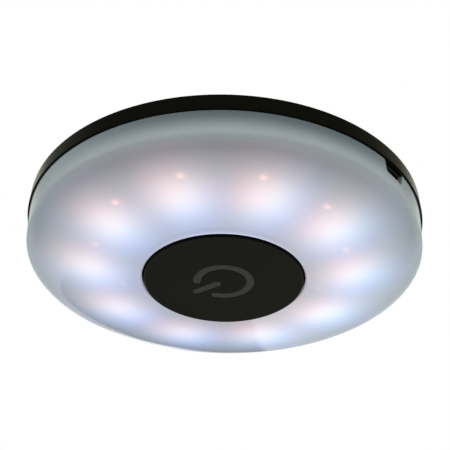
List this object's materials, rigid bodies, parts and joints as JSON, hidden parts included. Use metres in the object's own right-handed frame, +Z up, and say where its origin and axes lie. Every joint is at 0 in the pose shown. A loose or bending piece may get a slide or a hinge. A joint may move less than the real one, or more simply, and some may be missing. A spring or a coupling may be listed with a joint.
{
  "type": "rechargeable puck light",
  "caption": "Round rechargeable puck light with a black rear housing, an opal domed diffuser and a push button in its centre.",
  "frame": {"origin": "centre of the flat back face, which lies on the ceiling", "axes": "+Z up, out of the back face and square to it; the light hangs below; the charging socket is in the rim at 36 degrees from +X towards -Y"},
  "size_m": [0.1214, 0.1214, 0.0238],
  "materials": {
    "housing_black": "fine moulded texture, matt",
    "button_black": "smooth satin",
    "mark_grey": "matt",
    "opal_white": "glossy opal, lit from inside",
    "white_plastic": "satin",
    "board_white": "white solder mask",
    "led_yellow": "phosphor in a white package",
    "chip_black": "moulded epoxy",
    "ceramic_tan": "ceramic",
    "ferrite_grey": "ferrite",
    "lamp_green": "clear resin",
    "nickel": "nickel plated",
    "steel": "zinc plated",
    "foil_silver": "laminated foil",
    "foam_grey": "foam tape",
    "circuit_amber": "amber tape",
    "connector_cream": "nylon",
    "lead_red": "vinyl",
    "lead_black": "vinyl"
  },
  "bodies": {
    "housing": {"battery_cell": "foil_silver", "battery_circuit": "circuit_amber", "battery_header": "connector_cream", "battery_lead_black": "lead_black", "battery_lead_red": "lead_red", "battery_pad": "foam_grey", "battery_plug": "connector_cream", "board_screw_1": "steel", "board_screw_2": "steel", "board_screw_3": "steel", "board_screw_4": "steel", "button_frame": "white_plastic", "button_spring": "steel", "capacitor_1": "ceramic_tan", "capacitor_2": "ceramic_tan", "capacitor_3": "ceramic_tan", "capacitor_4": "ceramic_tan", "charge_indicator": "lamp_green", "charger_chip": "chip_black", "diffuser": "opal_white", "driver_chip": "chip_black", "frame_screw_1": "steel", "frame_screw_2": "steel", "frame_screw_3": "steel", "frame_screw_4": "steel", "inductor": "ferrite_grey", "led_01": "led_yellow", "led_02": "led_yellow", "led_03": "led_yellow", "led_04": "led_yellow", "led_05": "led_yellow", "led_06": "led_yellow", "led_07": "led_yellow", "led_08": "led_yellow", "led_09": "led_yellow", "led_10": "led_yellow", "led_board": "board_white", "led_resistor_1": "chip_black", "led_resistor_2": "chip_black", "led_resistor_3": "chip_black", "led_resistor_4": "chip_black", "led_resistor_5": "chip_black", "magnet_1": "nickel", "magnet_2": "nickel", "magnet_3": "nickel", "rear_housing": "housing_black", "socket_shell": "nickel", "socket_tongue": "chip_black", "switch_body": "chip_black", "switch_cover": "steel"},
    "button": {"button_cap": "button_black", "power_mark_bar": "mark_grey", "power_mark_ring": "mark_grey"},
    "plunger": {"switch_plunger": "chip_black"}
  },
  "joints": [
    {"name": "button_press", "type": "slide", "parent": "housing", "child": "button", "axis": [0, 0, 1], "range_m": [0, 0.0006], "stiffness_N_per_m": 900, "springref_m": -0.001, "deforming": ["button_spring"]},
    {"name": "switch_press", "type": "slide", "parent": "housing", "child": "plunger", "axis": [0, 0, 1], "range_m": [0, 0.0006]}
  ],
  "couplings": [
    {"joint": "switch_press", "follows": "button_press", "ratio": 1}
  ]
}
